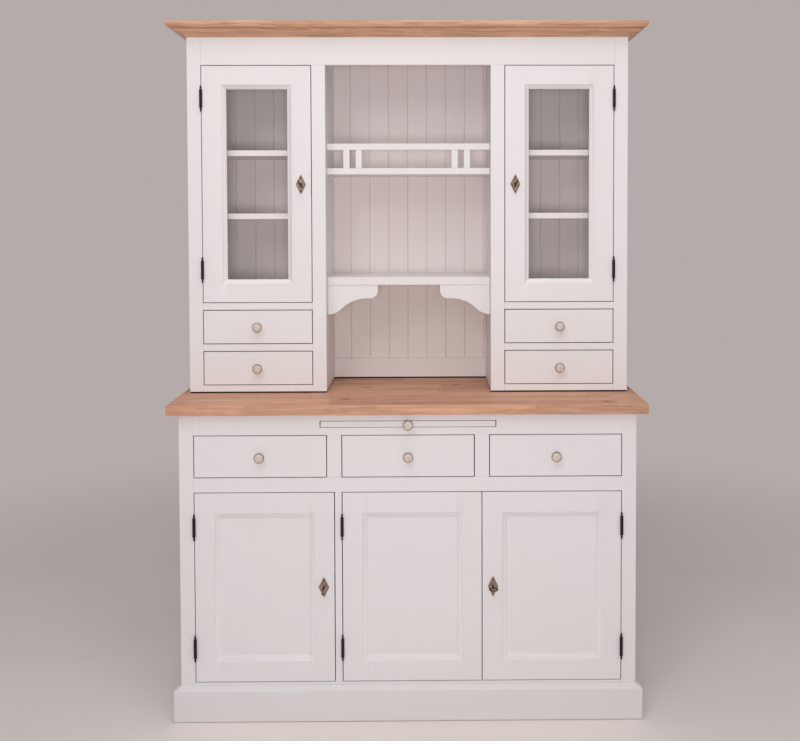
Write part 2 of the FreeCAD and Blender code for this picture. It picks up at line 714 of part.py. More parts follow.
def frustum_cut(x0, x1, z0, z1, y, stile_w, rail_w, slope_w):
    """The moulded opening in a door's face, then a straight way: a quirk along the outer edge,
    a long slope, and a bead down to the panel."""

    def ring(inset, depth):
        in_x = stile_w + inset
        in_z = rail_w + inset
        corners = [V(x0 + in_x, y + depth, z0 + in_z), V(x1 - in_x, y + depth, z0 + in_z),
                   V(x1 - in_x, y + depth, z1 - in_z), V(x0 + in_x, y + depth, z1 - in_z)]
        return Part.makePolygon(corners + corners[:1])

    steep = moulding_quirk_w / moulding_quirk_h
    rings = [ring(-overrun * steep, -overrun), ring(moulding_quirk_w, moulding_quirk_h),
             ring(slope_w - moulding_bead_w, moulding_depth - moulding_bead_drop),
             ring(slope_w - moulding_foot_w, moulding_depth - moulding_foot_drop),
             ring(slope_w, moulding_depth)]
    way = inside(x0, x1, y + moulding_depth - overrun, y + door_t + overrun, z0, z1,
                 stile_w + slope_w, rail_w + slope_w)
    return Part.makeLoft(rings, True, True).fuse(way)


def make_door_members(x0, x1, z0, z1, y, stile_w, rail_w, slope_w, recess):
    """Left stile, right stile, bottom rail and top rail of a door with a recess cut for its
    panel or glass."""
    whole = block(x0, x1, y, y + door_t, z0, z1).cut(recess)
    whole = whole.cut(frustum_cut(x0, x1, z0, z1, y, stile_w, rail_w, slope_w))
    inner = stile_w + slope_w
    left = whole.common(block(x0, x0 + inner, y, y + door_t, z0, z1))
    right = whole.common(block(x1 - inner, x1, y, y + door_t, z0, z1))
    rails = whole.common(block(x0 + inner, x1 - inner, y, y + door_t, z0, z1)).Solids
    return left, right, rails


def make_panel_door(name, x0, cuts_left, cuts_right):
    x1 = x0 + door_w
    in_x = panel_stile_w + panel_moulding_w - panel_groove
    in_z = panel_rail_w + panel_moulding_w - panel_groove
    y0 = face_y + moulding_depth
    y1 = y0 + door_panel_t
    groove = inside(x0, x1, y0, y1, door_bottom, door_top, in_x, in_z)
    left, right, rails = make_door_members(x0, x1, door_bottom, door_top, face_y, panel_stile_w,
                                           panel_rail_w, panel_moulding_w, groove)
    for tool in cuts_left:
        left = left.cut(tool)
    for tool in cuts_right:
        right = right.cut(tool)
    panel = inside(x0, x1, y0, y1, door_bottom, door_top, in_x + panel_play, in_z + panel_play)
    save("door_" + name, [left, right] + rails + [panel])


def make_glass_door(name, x0, s):
    """s is the side of the free edge."""
    x1 = x0 + tower_opening_w - 2 * door_gap
    in_x = glass_stile_w + glass_moulding_w - rebate_w
    in_z = glass_rail_w + glass_moulding_w - rebate_w
    y0 = hutch_y + moulding_depth
    y1 = hutch_y + door_t
    rebate = inside(x0, x1, y0, y1 + overrun, glass_bottom, glass_top, in_x, in_z)
    left, right, rails = make_door_members(x0, x1, glass_bottom, glass_top, hutch_y,
                                           glass_stile_w, glass_rail_w, glass_moulding_w, rebate)
    edge_x = x1 if s > 0 else x0
    tool = lock_space(edge_x, s, hutch_y, glass_mid)
    if s > 0:
        right = right.cut(tool)
    else:
        left = left.cut(tool)
    way_x = in_x + rebate_w
    way_z = in_z + rebate_w
    bead_y = y0 + glass_t
    z0 = glass_bottom + in_z
    z1 = glass_top - in_z
    beads = [block(x0 + in_x, x0 + way_x, bead_y, y1, z0, z1),
             block(x1 - way_x, x1 - in_x, bead_y, y1, z0, z1),
             block(x0 + way_x, x1 - way_x, bead_y, y1, z0, glass_bottom + way_z),
             block(x0 + way_x, x1 - way_x, bead_y, y1, glass_top - way_z, z1)]
    save("door_" + name, [left, right] + rails + beads)
    save("pane_" + name, [inside(x0, x1, y0, y0 + glass_t, glass_bottom, glass_top,
                                 in_x + panel_play, in_z + panel_play)])
    make_lock(name, edge_x, s, hutch_y, glass_mid)


def make_doors():
    left_edge = left_door_x0 + door_w
    centre_edge = centre_door_x0 + door_w
    make_panel_door("left", left_door_x0, [], [lock_space(left_edge, 1, face_y, door_mid)])
    bar_slot = block(bar_x - bar_w / 2 - pocket_gap, bar_x + bar_w / 2 + pocket_gap,
                     bar_y - pocket_gap, bar_y + bar_t + pocket_gap,
                     bar_z1 - bar_h - pocket_gap, door_top + overrun)
    thumb_z = bar_z1 - thumb_drop
    thumb_slot = block(bar_x - bar_w / 2 - pocket_gap, bar_x + bar_w / 2 + pocket_gap,
                       bar_y, face_y + door_t + overrun,
                       thumb_z - pocket_gap, thumb_z + thumb_h + bar_throw + pocket_gap)
    make_panel_door("centre", centre_door_x0, [],
                    [strike(centre_edge, -1, face_y, door_mid), bar_slot, thumb_slot])
    make_panel_door("right", right_door_x0, [lock_space(right_door_x0, -1, face_y, door_mid)], [])
    make_lock("left", left_edge, 1, face_y, door_mid)
    make_lock("right", right_door_x0, -1, face_y, door_mid)
    make_glass_door("glass_left", -tower_x1 + door_gap, 1)
    make_glass_door("glass_right", tower_x0 + door_gap, -1)
    bar = block(bar_x - bar_w / 2, bar_x + bar_w / 2, bar_y, bar_y + bar_t, bar_z1 - bar_h, bar_z1)
    thumb = block(bar_x - bar_w / 2, bar_x + bar_w / 2, bar_y + bar_t, face_y + door_t + thumb_out,
                  thumb_z, thumb_z + thumb_h)
    save("centre_door_bolt", [bar.fuse(thumb)])


# Hinges
def hinge_halves(x, y, z, s):
    """Door half and frame half of a lift-off hinge on the axis at x; the door lies on side s.
    y is the face and z the middle of the barrel."""
    axis_y = y - barrel_stand
    neck_share = 0.15
    ball_share = 0.5
    length = (barrel_h - barrel_split) / 2
    outline = [(barrel_r, 0), (barrel_r, length), (finial_neck_r, length + finial_h * neck_share),
               (finial_ball_r, length + finial_h * ball_share), (0, length + finial_h)]
    door_end = V(x, axis_y, z + barrel_split / 2)
    frame_end = V(x, axis_y, z - barrel_split / 2)
    bore = rod(pin_r + pin_play, V(x, axis_y, z), Z_AXIS, pin_h + pocket_gap)
    pin = rod(pin_r, frame_end - Z_AXIS * overrun, Z_AXIS, overrun + pin_h)
    halves = []
    for way, end, up in ((s, door_end, Z_AXIS), (-s, frame_end, Z_AXIS * -1)):
        body = turned(end, up, V(1, 0, 0), outline, small_side_count)
        xs = sorted((x + way * (door_gap / 2 - leaf_t), x + way * door_gap / 2))
        zs = sorted((end.z, end.z + up.z * length))
        arm = block(xs[0], xs[1], axis_y, y, zs[0], zs[1])
        leaf = block(xs[0], xs[1], y, y + leaf_depth, z - barrel_h / 2, z + barrel_h / 2)
        halves.append(body.fuse([arm, leaf]))
    return halves[0].cut(bore), halves[1].fuse(pin)


def make_hinges():
    base_heights = (door_bottom + hinge_from_end, door_top - hinge_from_end)
    glass_heights = (glass_bottom + hinge_from_end, glass_top - hinge_from_end)
    half_gap = door_gap / 2
    frame_side = []
    for name, x, y, heights, s in (
            ("left", -opening_x + half_gap, face_y, base_heights, 1),
            ("centre", mullion_x1 + half_gap, face_y, base_heights, 1),
            ("right", opening_x - half_gap, face_y, base_heights, -1),
            ("glass_left", -tower_x1 + half_gap, hutch_y, glass_heights, 1),
            ("glass_right", tower_x1 - half_gap, hutch_y, glass_heights, -1)):
        door_side = []
        for z in heights:
            door_half, frame_half = hinge_halves(x, y, z, s)
            door_side.append(door_half)
            frame_side.append(frame_half)
        save("hinge_halves_" + name, door_side)
    save("frame_hinge_halves", frame_side)


os.makedirs("parts", exist_ok=True)
make_base()
make_hutch()
make_runners()
make_drawers()
make_doors()
make_hinges()
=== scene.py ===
"""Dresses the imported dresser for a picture: eased painted boards, oak with its staves and grain,
turned knobs, black hinges, brass locks with their keys, clear panes, and a plain stage.

Everything is in metres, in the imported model's frame: +Z is up and the front faces -Y.
"""

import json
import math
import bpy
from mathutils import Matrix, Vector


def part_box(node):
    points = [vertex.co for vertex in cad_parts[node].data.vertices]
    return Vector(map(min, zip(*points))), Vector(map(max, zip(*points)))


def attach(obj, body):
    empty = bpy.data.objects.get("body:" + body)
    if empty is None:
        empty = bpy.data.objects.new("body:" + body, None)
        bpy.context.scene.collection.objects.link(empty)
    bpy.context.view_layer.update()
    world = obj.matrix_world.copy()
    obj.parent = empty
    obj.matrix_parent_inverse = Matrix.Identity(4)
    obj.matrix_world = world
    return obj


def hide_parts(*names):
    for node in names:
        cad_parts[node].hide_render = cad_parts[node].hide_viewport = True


bl_info = {
    "name": "Painted dresser",
    "version": (1, 0, 0),
    "blender": (4, 5, 0),
    "location": "View3D > Sidebar > Dresser",
    "description": "Builds the visible pieces, finishes and stage of a painted dresser",
    "category": "Object",
}

import bmesh
import bpy
from bpy.props import FloatProperty, FloatVectorProperty, PointerProperty
from mathutils import Matrix, Vector

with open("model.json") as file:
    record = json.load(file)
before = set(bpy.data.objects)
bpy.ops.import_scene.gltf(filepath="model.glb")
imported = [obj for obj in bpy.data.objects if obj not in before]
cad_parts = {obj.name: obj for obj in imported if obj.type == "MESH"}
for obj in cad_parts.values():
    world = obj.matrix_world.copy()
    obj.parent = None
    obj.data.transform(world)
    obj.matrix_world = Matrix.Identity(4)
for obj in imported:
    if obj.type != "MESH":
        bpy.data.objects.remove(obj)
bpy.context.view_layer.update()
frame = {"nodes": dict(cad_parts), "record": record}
RECORD = frame["record"]
BODIES = RECORD["behaviour"]["bodies"]
JOINTS = {joint["name"]: joint for joint in RECORD["behaviour"]["joints"]}
SLOTS = {part["node"]: part["material_slot"] for part in RECORD["subparts"]}
X_AXIS = Vector((1, 0, 0))
Y_AXIS = Vector((0, 1, 0))
Z_AXIS = Vector((0, 0, 1))

# Corners nearer than this are one corner, and faces that turn less than this are one face
WELD_DISTANCE = 0.000002
FLAT_ANGLE = math.radians(0.4)
# Edges that turn more than this stay sharp, or are eased where the piece has an ease
SHARP_ANGLE = math.radians(32)
# The gap round a door, and half the width and height of a lock plate
DOOR_GAP = 0.0025
PLATE_HALF = (0.0155, 0.031)
# How far the key of each locked door is turned from upright, in degrees clockwise as seen
# from the front
KEY_TURNS = {"left": 14.0, "right": 90.0, "glass_left": -30.0, "glass_right": 25.0}
# Turn to the side, tilt and roll of the camera in degrees
CAMERA_TURN = (-0.592, -1.969, -0.139)
# The point that every lamp faces, and how far the floor reaches
LAMP_AIM = Vector((0, 0, 1.9))
FLOOR_RADIUS = 9.0


def colour(name, description, default):
    """A colour in the panel, as linear values."""
    return FloatVectorProperty(name=name, description=description, default=default,
                               subtype="COLOR", size=3, min=0, max=1)


def length(name, description, default):
    """A length in the panel, in metres."""
    return FloatProperty(name=name, description=description, default=default, unit="LENGTH",
                         subtype="DISTANCE", min=0, precision=5)


class DresserSizes(bpy.types.PropertyGroup):
    """Sizes of the small forms that the boards, metalwork and knobs get in this script."""

    board_ease: length("Board ease", "How far the edges of painted boards are rounded", 0.0011)
    fine_ease: length("Fine ease", "Rounding of thin boards and beads", 0.0005)
    plinth_ease: length("Plinth ease", "How far the edges of the plinth are rounded", 0.0015)
    plinth_foot: length("Plinth foot", "Chamfer along the foot of the plinth", 0.004)
    metal_ease: length("Metal ease", "Rounding of plates, bolts and leaves", 0.0003)
    stave_width: length("Stave width", "Width of one oak stave in the worktop", 0.046)
    stave_length: length("Stave length", "Usual length of one oak stave", 0.42)
    knob_radius: length("Knob radius", "Radius of a knob's rim", 0.015)
    knob_reach: length("Knob reach", "How far a knob stands out of its front", 0.027)
    barrel_radius: length("Barrel radius", "Radius of a hinge barrel", 0.0046)
    barrel_stand: length("Barrel stand", "From a door's face to the pins of its hinges", 0.0052)
    barrel_height: length("Barrel height", "Height of both barrels of a hinge", 0.057)
    barrel_split: length("Barrel split", "Gap between the two barrels of a hinge", 0.0004)
    finial_height: length("Finial height", "Height of a hinge finial", 0.012)
    hinge_from_end: length("Hinge from end", "From a door's end to the middle of its hinge", 0.1)
    leaf_depth: length("Leaf depth", "How far a hinge leaf reaches into the gap", 0.018)
    leaf_thickness: length("Leaf thickness", "Thickness of a hinge leaf", 0.001)
    bow_radius: length("Bow radius", "Outer radius of a key's ring", 0.014)
    bow_hole: length("Bow hole", "Radius of the hole in a key's ring", 0.009)


class DresserColours(bpy.types.PropertyGroup):
    """Colours of the dresser's finishes, as linear values."""

    paint: colour("Paint", "Satin paint on the boards", (0.80, 0.775, 0.785))
    # The plinth's paint is darker than the rest as painted shade, for the foot of the dresser that
    # gets less light.
    plinth_tone_painted_shade: colour("Plinth paint", "Slightly duller paint on the plinth",
                         (0.755, 0.735, 0.742))
    # The back boards' paint is darker and warmer than the rest: painted shade, with the warm light
    # thrown back from the oak worktop painted in.
    back_boards_painted_shade: colour("Back paint", "Warmer paint on the back boards", (0.77, 0.705, 0.695))
    # The paint of the inner boards and shelves is lighter than the rest: painted light that lifts
    # the shade inside the towers and the bay.
    inner_boards_painted_light: colour("Inner paint", "Cleaner paint on the shelves and inner boards",
                        (0.90, 0.845, 0.835))
    oak: colour("Oak", "Light parts of the oak", (0.67, 0.37, 0.247))
    # The cornice's oak is the oak's own colour made lighter than the worktop's, as painted light
    # on faces that look down, away from the lamps.
    cornice_tone_painted_light: colour("Cornice oak", "Light parts of the oak cornice", (0.80, 0.445, 0.285))
    oak_dark: colour("Oak grain", "Dark lines of the oak", (0.47, 0.23, 0.14))
    pine: colour("Pine", "Light parts of the drawer boxes", (0.70, 0.50, 0.31))
    pine_dark: colour("Pine grain", "Dark lines of the drawer boxes", (0.48, 0.29, 0.15))
    iron: colour("Iron", "Black hinges", (0.013, 0.008, 0.008))
    brass: colour("Brass", "Worn high spots of the old brass", (0.83, 0.63, 0.495))
    brass_dark: colour("Brass patina", "Dull ground of the old brass", (0.375, 0.262, 0.20))
    key: colour("Key", "Dark bronze of the keys", (0.10, 0.06, 0.04))
    knob: colour("Knob", "Face of a knob", (0.755, 0.635, 0.575))
    # The dark ring round a knob is painted shade where the rounded rim turns away from the light.
    knob_edge_painted_shade: colour("Knob rim", "Dark ring round a knob's face", (0.12, 0.095, 0.08))
    # The felt is near black: felt under the hutch, whose black also stands in for the shadow in
    # the gap, as painted shade.
    felt: colour("Felt", "Strips under the hutch", (0.010, 0.008, 0.008))
    backdrop: colour("Backdrop", "What stands behind the dresser", (0.455, 0.41, 0.405))
    floor: colour("Floor", "The floor near the dresser", (0.85, 0.785, 0.765))


class StageSettings(bpy.types.PropertyGroup):
    """Light and camera."""

    key_power: FloatProperty(name="Key light", description="Power of the lamp on the left",
                             default=24, unit="POWER", min=0)
    fill_power: FloatProperty(name="Fill light", description="Power of the lamp on the right",
                              default=10, unit="POWER", min=0)
    front_power: FloatProperty(name="Front light", description="Power of the lamp at the camera",
                               default=22, unit="POWER", min=0)
    top_power: FloatProperty(name="Top light", description="Power of the lamp overhead",
                             default=54, unit="POWER", min=0)
    sky_level: FloatProperty(name="Sky level", description="Strength of the light all round",
                             default=0.28, min=0)
    camera_place: FloatVectorProperty(name="Camera place", description="Where the camera stands",
                                      default=(0.0536, -3.04, 1.4921), subtype="TRANSLATION",
                                      unit="LENGTH")
    camera_turn: FloatVectorProperty(name="Camera turn",
                                     description="Turn to the side, tilt and roll of the camera",
                                     default=tuple(map(math.radians, CAMERA_TURN)),
                                     subtype="EULER", unit="ROTATION")
    lens: FloatProperty(name="Lens", description="Focal length in millimetres", default=43.85,
                        min=1)
    shift_x: FloatProperty(name="Shift X", description="Sideways shift of the lens",
                           default=-0.0449)
    shift_y: FloatProperty(name="Shift Y", description="Upward shift of the lens",
                           default=-0.1546)


# Finishes
class Wire:
    """A shader socket that can stand in a sum."""

    def __init__(self, finish, socket):
        self.finish = finish
        self.socket = socket

    def maths(self, operation, *values):
        """A Math node fed by values and wires."""
        return self.finish.node("ShaderNodeMath", {"operation": operation},
                                dict(enumerate(values)))

    def __add__(self, other):
        return self.maths("ADD", self, other)

    def __radd__(self, other):
        return self.maths("ADD", other, self)

    def __sub__(self, other):
        return self.maths("SUBTRACT", self, other)

    def __rsub__(self, other):
        return self.maths("SUBTRACT", other, self)

    def __mul__(self, other):
        return self.maths("MULTIPLY", self, other)

    def __rmul__(self, other):
        return self.maths("MULTIPLY", other, self)

    def __truediv__(self, other):
        return self.maths("DIVIDE", self, other)

    def __pow__(self, other):
        return self.maths("POWER", self, other)

    def __lt__(self, other):
        return self.maths("LESS_THAN", self, other)

    def __floordiv__(self, other):
        return (self / other).whole()

    def __abs__(self):
        return self.maths("ABSOLUTE", self)

    def sine(self):
        return self.maths("SINE", self)

    def whole(self):
        """The value rounded down."""
        return self.maths("FLOOR", self)

    def fraction(self):
        """What is left of the value above the whole number below it."""
        return self.maths("FRACT", self)

    def least(self, other):
        return self.maths("MINIMUM", self, other)


class Finish:
    """A material with its Principled shader; every other node comes from its one node method."""

    def __init__(self, name, **plain):
        self.material = bpy.data.materials.new(name)
        self.material.use_nodes = True
        self.tree = self.material.node_tree
        self.shader = self.tree.nodes["Principled BSDF"]
        self.output = self.tree.nodes["Material Output"]
        for key, value in plain.items():
            self.set(key.replace("_", " "), value)

    def put(self, socket, value):
        """Feeds a socket with a wire, or gives it a plain value."""
        if isinstance(value, Wire):
            self.tree.links.new(value.socket, socket)
        else:
            if socket.type == "RGBA" and len(value) == 3:
                value = (*value, 1)
            socket.default_value = value

    def set(self, name, value):
        """Sets a socket of the Principled shader."""
        self.put(self.shader.inputs[name], value)

    def node(self, kind, settings=None, inputs=None, output=0):
        """Adds a node with its settings and inputs, and gives one of its outputs."""
        made = self.tree.nodes.new(kind)
        for key, value in (settings or {}).items():
            if key == "stops":
                ramp = made.color_ramp.elements
                while len(ramp) < len(value):
                    ramp.new(1)
                for stop, (place, shade) in zip(ramp, value):
                    stop.position = place
                    stop.color = (*shade, 1)
            else:
                setattr(made, key, value)
        for key, value in (inputs or {}).items():
            self.put(made.inputs[key], value)
        return Wire(self, made.outputs[output])

    def axes(self):
        """The three Object coordinates as separate wires."""
        place = self.node("ShaderNodeTexCoord", output="Object")
        return [self.node("ShaderNodeSeparateXYZ", inputs={0: place}, output=i) for i in range(3)]

    def join(self, x, y, z):
        """Three values as one vector."""
        return self.node("ShaderNodeCombineXYZ", inputs={0: x, 1: y, 2: z})

    def noise(self, vector, scale=1.0, detail=4.0, rough=0.5, distortion=0.0):
        return self.node("ShaderNodeTexNoise", {}, {"Vector": vector, "Scale": scale,
                         "Detail": detail, "Roughness": rough, "Distortion": distortion})

    def chance(self, vector):
        """A steady random value for each cell of a vector."""
        return self.node("ShaderNodeTexWhiteNoise", {"noise_dimensions": "3D"},
                         {"Vector": vector})

    def attribute(self, name):
        """A value that the mesh carries."""
        return self.node("ShaderNodeAttribute", {"attribute_name": name}, output="Fac")

    def blend(self, factor, first, second, way="MIX"):
        """A mix of two colours; the Mix node's sockets 6, 7 and 2 are those for colours."""
        made = self.tree.nodes.new("ShaderNodeMix")
        made.data_type = "RGBA"
        made.blend_type = way
        self.put(made.inputs["Factor"], factor)
        self.put(made.inputs[6], first)
        self.put(made.inputs[7], second)
        return Wire(self, made.outputs[2])

    def spread(self, value, low, high, new_low=0.0, new_high=1.0):
        """A value stretched from one range to another and held inside it."""
        return self.node("ShaderNodeMapRange", {"interpolation_type": "SMOOTHSTEP"},
                         {"Value": value, "From Min": low, "From Max": high,
                          "To Min": new_low, "To Max": new_high})

    def bump(self, height, depth, strength=1.0):
        """Small relief on the surface; depth is in metres."""
        self.set("Normal", self.node("ShaderNodeBump", {}, {"Height": height, "Distance": depth,
                                                            "Strength": strength}))


def paint_finish(name, tint):
    """Satin paint: a faint drift of tone, the ripple of a sprayed coat and duller patches."""
    finish = Finish(name)
    x, y, z = finish.axes()
    place = finish.join(x, y, z)
    drift = finish.spread(finish.noise(place, 2.3, 3), 0.3, 0.7)
    board = finish.chance(finish.join(finish.attribute("board"), 0.5, 0.5))
    ripple = finish.noise(place, 420, 2)
    lap = finish.noise(finish.join(x * 6, y * 6, z * 6), 1, 5, 0.6)
    warm = [c * s for c, s in zip(tint, (0.985, 0.975, 0.965))]
    tone = finish.blend(drift * 0.7 + board * 0.3, tint, warm)
    finish.set("Base Color", tone)
    finish.set("Roughness", finish.spread(lap, 0.3, 0.7, 0.36, 0.5))
    finish.bump(ripple * 0.6 + lap * 0.4, 0.00012, 0.5)
    return finish.material


def wood_finish(name, light, dark, along, stave=None, roughness=0.5):
    """Wood with its fibres, rings and pores along one axis, and glued staves if asked for.
    stave is the (width, length) of one stave."""
    finish = Finish(name)
    axes = dict(zip("XYZ", finish.axes()))
    run = axes.pop(along)
    across, other = axes.values()
    board = finish.attribute("board")
    if stave:
        stave_width, stave_length = stave
        row = across // stave_width
        shift = finish.chance(finish.join(row, board, 0.3))
        part = run / stave_length + shift * 7
        tone = finish.chance(finish.join(row, part.whole(), board))
    else:
        row = board
        tone = finish.chance(finish.join(board, 0.7, 0.2))
    start = tone * 13 + row * 0.37
    knot = finish.node("ShaderNodeTexVoronoi", {"voronoi_dimensions": "2D"},
                       {"Vector": finish.join(run * 1.7 + start, across * 3.2 + start, 0.0),
                        "Scale": 1.0}, "Distance")
    lane = across + finish.spread(knot, 0.0, 0.25, 0.012, 0.0)
    fibres = finish.noise(finish.join(run * 6 + start, lane * 300 + start, other * 300), 1, 4,
                          0.6, 0.15)
    bands = finish.noise(finish.join(run * 5 + start, lane * 110 + start, other * 110), 1, 5,
                         0.6, 0.2)
    sweep = finish.noise(finish.join(run * 1.3 + start, lane * 9 + start, other * 9), 1, 2)
    rings = (sweep * 150).sine() * 0.5 + 0.5
    pores = finish.noise(finish.join(run * 40 + start, across * 1100, other * 1100), 1, 2)
    pits = finish.spread(pores, 0.58, 0.7)
    body = (finish.spread(fibres, 0.35, 0.65) * 0.3 + finish.spread(bands, 0.4, 0.6) * 0.5
            + rings * 0.2 + 0.04)
    shade = finish.blend(body, dark, light)
    shade = finish.blend(pits * 0.35, shade, [c * 0.6 for c in dark])
    shade = finish.blend(finish.spread(knot, 0.012, 0.042, 0.7, 0.0), shade,
                         [c * 0.4 for c in dark])
    level = finish.spread(tone, 0.0, 1.0, 0.88, 1.12)
    redness = finish.spread(finish.chance(finish.join(tone, 0.4, 0.1)), 0.0, 1.0, 0.95, 1.06)
    shade = finish.blend(1.0, shade, finish.join(level, level * redness, level * redness * 0.99),
                         "MULTIPLY")
    if stave:
        half_seam = 0.00025
        side = (across / stave_width).fraction()
        end = part.fraction()
        to_side = side.least(1 - side) * stave_width
        to_end = end.least(1 - end) * stave_length
        seam = to_side.least(to_end) < half_seam
        shade = finish.blend(seam * 0.45, shade, [c * 0.5 for c in dark])
    finish.set("Base Color", shade)
    finish.set("Roughness", finish.spread(bands, 0.25, 0.75, roughness + 0.08, roughness - 0.06))
    finish.bump(fibres * 0.5 - pits * 0.5, 0.0002, 0.6)
    return finish.material


def iron_finish(name, tint):
    """Black lacquered iron, a little uneven."""
    finish = Finish(name, Specular_IOR_Level=0.3)
    x, y, z = finish.axes()
    grain = finish.noise(finish.join(x, y, z), 900, 3)
    cloud = finish.noise(finish.join(x, y, z), 120, 2)
    finish.set("Base Color", finish.blend(finish.spread(cloud, 0.4, 0.7), tint,
                                          [c * 1.9 for c in tint]))
    finish.set("Roughness", finish.spread(grain, 0.3, 0.7, 0.5, 0.66))
    finish.bump(grain, 0.00006, 0.6)
    return finish.material


def brass_finish(name, bright, dull, plate=None):
    """Old brass: worn spots through a dark patina; a pointed plate gets darker towards its edge.
    plate is half its (width, height), and the mesh carries where its middle is."""
    finish = Finish(name, Metallic=1.0)
    x, y, z = finish.axes()
    place = finish.join(x, y, z)
    cloud = finish.noise(place, 190, 4, 0.65, 0.4)
    scratch = finish.noise(finish.join(x * 300, y * 300, z * 1500), 1, 2)
    worn = finish.spread(cloud, 0.42, 0.64)
    if plate:
        aside = x - finish.attribute("plate_x")
        rise = z - finish.attribute("plate_z")
        rim = abs(aside) / plate[0] + abs(rise) / plate[1]
        worn = worn * finish.spread(rim, 0.62, 0.98, 1.0, 0.0)
    finish.set("Base Color", finish.blend(worn, dull, bright))
    finish.set("Roughness", finish.spread(cloud, 0.35, 0.7, 0.52, 0.3) + scratch * 0.06)
    finish.bump(cloud * 0.7 + scratch * 0.3, 0.00008, 0.6)
    return finish.material


def knob_finish(name, face, rim):
    """A crazed glazed face inside a rim painted dark as shade; the mesh carries each point's
    radius.
    """
    face_radius = 0.0126
    rim_radius = 0.0135
    finish = Finish(name, Coat_Weight=0.3, Coat_Roughness=0.15)
    x, y, z = finish.axes()
    place = finish.join(x, y, z)
    radius = finish.attribute("radius")
    mottle = finish.noise(place, 230, 4, 0.65)
    turned = (radius * 2600 + mottle * 5).sine()
    face_tone = finish.blend(finish.spread(mottle + turned * 0.05, 0.38, 0.62), face,
                             [c * 0.7 for c in face])
    # Past the face, the rounded rim is painted dark: painted shade where it turns away from the
    # light.
    ring = finish.spread(radius, face_radius, rim_radius)
    finish.set("Base Color", finish.blend(ring, face_tone, rim))
    finish.set("Roughness", finish.spread(mottle, 0.3, 0.7, 0.36, 0.48))
    finish.bump(mottle, 0.00012, 0.5)
    return finish.material


def felt_with_painted_shade_finish(name, tint):
    """Near-black felt with a short nap; its black is partly painted shade for the gap under the
    hutch.
    """
    finish = Finish(name, Roughness=0.95)
    x, y, z = finish.axes()
    nap = finish.noise(finish.join(x, y, z), 1400, 3, 0.7)
    finish.set("Base Color", finish.blend(nap, tint, [c * 1.8 for c in tint]))
    finish.bump(nap, 0.0004, 0.8)
    return finish.material


def glass_finish(name):
    """A thin clear pane: it lets light through and mirrors by its angle."""
    finish = Finish(name, Base_Color=(0.92, 0.96, 0.95), Metallic=1.0, Roughness=0.03)
    clear = finish.node("ShaderNodeBsdfTransparent", {}, {"Color": (1.0, 1.0, 1.0)})
    facing = finish.node("ShaderNodeLayerWeight", {}, {"Blend": 0.5}, "Facing")
    mixed = finish.node("ShaderNodeMixShader", {}, {0: facing ** 4.5 * 0.7 + 0.025, 1: clear})
    finish.tree.links.new(finish.shader.outputs["BSDF"], mixed.socket.node.inputs[2])
    finish.tree.links.new(mixed.socket, finish.output.inputs["Surface"])
    return finish.material


def floor_finish(name, near, far):
    """Pale floor that takes the shadow near the dresser and runs into the backdrop's colour."""
    fade_start = 1.5
    fade_end = 3.4
    finish = Finish(name, Roughness=0.8)
    x, y, z = finish.axes()
    cloud = finish.noise(finish.join(x, y, z), 1.6, 3)
    finish.set("Base Color", finish.blend(finish.spread(cloud, 0.3, 0.7), near,
                                          [c * 0.97 for c in near]))
    away = (x * x + y * y) ** 0.5
    glow = finish.node("ShaderNodeEmission", {}, {"Color": far, "Strength": 1.0})
    fade = finish.spread(away, fade_start, fade_end)
    mixed = finish.node("ShaderNodeMixShader", {}, {0: fade, 2: glow})
    finish.tree.links.new(finish.shader.outputs["BSDF"], mixed.socket.node.inputs[1])
    finish.tree.links.new(mixed.socket, finish.output.inputs["Surface"])
    return finish.material


MAKERS = {
    "paint": lambda c: paint_finish("satin_paint", tuple(c.paint)),
    # The plinth's darker paint and the back boards' darker, warmer paint are painted shade, and
    # the inner boards' lighter paint is painted light.
    "plinth_tone_painted_shade": lambda c: paint_finish("satin_plinth_painted_shade", tuple(c.plinth_tone_painted_shade)),
    "back_boards_painted_shade": lambda c: paint_finish("satin_back_painted_shade", tuple(c.back_boards_painted_shade)),
    "inner_boards_painted_light": lambda c: paint_finish("satin_inner_painted_light", tuple(c.inner_boards_painted_light)),
    # The cornice's oak is lighter than the worktop's, as painted light.
    "oak": lambda c: wood_finish("oak_cornice", tuple(c.cornice_tone_painted_light), tuple(c.oak_dark), "X"),
    "oak_sides": lambda c: wood_finish("oak_cornice_sides", tuple(c.cornice_tone_painted_light),
                                       tuple(c.oak_dark), "Y"),
    "pine": lambda c: wood_finish("drawer_pine", tuple(c.pine), tuple(c.pine_dark), "Y",
                                  roughness=0.6),
    "pine_wide": lambda c: wood_finish("drawer_pine_wide", tuple(c.pine), tuple(c.pine_dark), "X",
                                       roughness=0.6),
    "iron": lambda c: iron_finish("black_iron", tuple(c.iron)),
    "brass": lambda c: brass_finish("old_brass", tuple(c.brass), tuple(c.brass_dark)),
    "plate": lambda c: brass_finish("old_brass_plate", tuple(c.brass), tuple(c.brass_dark),
                                    PLATE_HALF),
    "key": lambda c: brass_finish("dark_bronze", tuple(c.key), tuple(v * 0.4 for v in c.key)),
    "knob": lambda c: knob_finish("knob_glaze", tuple(c.knob), tuple(c.knob_edge_painted_shade)),
    "felt": lambda c: felt_with_painted_shade_finish("felt_pad", tuple(c.felt)),
    "glass": lambda c: glass_finish("clear_pane"),
}
made_finishes = {}


def finish_of(key, scene):
    """The material of a finish, made when it is first asked for."""
    if key not in made_finishes:
        made_finishes[key] = MAKERS[key](scene.dresser_colours)
    return made_finishes[key]


# Meshes
def body_of(node):
    """The body that a node rides on."""
    for body, nodes in BODIES.items():
        if node in nodes:
            return body
    raise ValueError("no body holds " + node)


